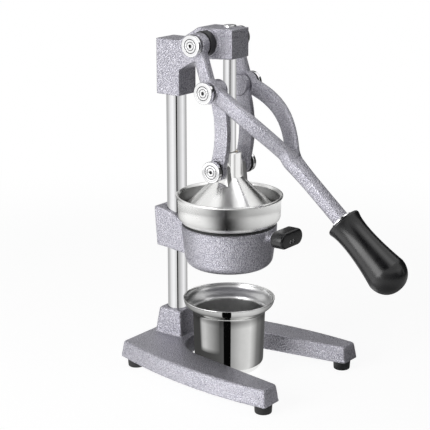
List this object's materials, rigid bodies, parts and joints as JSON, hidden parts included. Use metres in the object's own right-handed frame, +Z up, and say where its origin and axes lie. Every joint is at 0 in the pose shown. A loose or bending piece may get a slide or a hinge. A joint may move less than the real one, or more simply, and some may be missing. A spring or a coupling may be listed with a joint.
{
  "type": "citrus press juicer",
  "caption": "Lever citrus press: cast stand with a chrome column, bowl holder with steel bowl and strainer, forked lever driving a funnel press down a guide rod, juice cup below",
  "frame": {"origin": "where the press axis meets the table, at the middle of the juice cup's flat bottom", "axes": "+Z up along the guide rod, -Y forward towards the lever's grip and the open end of the base, +X to the right seen from behind, across the pivots"},
  "size_m": [0.2106, 0.3641, 0.4363],
  "materials": {
    "silver_paint": "hammered silver-grey enamel",
    "chrome": "polished",
    "stainless": "spun and polished",
    "rubber": "matte",
    "black_plastic": "gloss",
    "black_nylon": "matte",
    "brass": "turned",
    "screw_steel": "zinc plated"
  },
  "bodies": {
    "stand": {"base_casting": "silver_paint", "foot_front_left": "rubber", "foot_front_right": "rubber", "foot_rear_left": "rubber", "foot_rear_right": "rubber", "foot_screws": "screw_steel", "column": "chrome", "column_bolt": "screw_steel", "column_washer": "screw_steel", "socket_screw": "screw_steel", "holder_casting": "silver_paint", "holder_screws": "screw_steel", "holder_knob": "black_plastic", "knob_screws": "screw_steel", "bowl_seat_ring": "rubber", "juice_bowl": "stainless", "strainer_cone": "stainless", "head_casting": "silver_paint", "head_screws": "screw_steel", "guide_rod": "chrome", "guide_rod_screw": "chrome", "pivot_shaft": "chrome", "shaft_cap_left": "chrome", "shaft_cap_right": "chrome", "hub_washers": "black_nylon"},
    "lever": {"lever_casting": "silver_paint", "elbow_pin_left": "chrome", "elbow_pin_right": "chrome", "elbow_cap_left": "chrome", "elbow_cap_right": "chrome", "grip_collar": "chrome", "lever_grip": "black_plastic"},
    "press": {"press_funnel": "stainless", "guide_bush": "brass", "lower_pin_left": "chrome", "lower_pin_right": "chrome", "lower_cap_left": "chrome", "lower_cap_right": "chrome", "link_washers": "black_nylon"},
    "left_link": {"link_left": "silver_paint"},
    "right_link": {"link_right": "silver_paint"},
    "cup": {"juice_cup": "stainless"}
  },
  "joints": [
    {"name": "lever_hinge", "type": "hinge", "parent": "stand", "child": "lever", "pos_m": [0, 0.0202, 0.415], "axis": [-1, 0, 0], "range_deg": [0, 100]},
    {"name": "press_slide", "type": "slide", "parent": "stand", "child": "press", "axis": [0, 0, 1], "range_m": [0, 0.0862]},
    {"name": "left_link_swing", "type": "hinge", "parent": "press", "child": "left_link", "pos_m": [-0.0248, 0, 0.2631], "axis": [1, 0, 0], "range_deg": [0, 18.8]},
    {"name": "right_link_swing", "type": "hinge", "parent": "press", "child": "right_link", "pos_m": [0.0248, 0, 0.2631], "axis": [1, 0, 0], "range_deg": [0, 18.8]},
    {"name": "cup_slide", "type": "slide", "parent": "stand", "child": "cup", "axis": [0, -1, 0], "range_m": [0, 0.22]}
  ],
  "couplings": [
    {"joint": "press_slide", "follows": "lever_hinge", "m_per_rad": 0.04934},
    {"joint": "left_link_swing", "follows": "lever_hinge", "ratio": 0.1876},
    {"joint": "right_link_swing", "follows": "lever_hinge", "ratio": 0.1876}
  ]
}
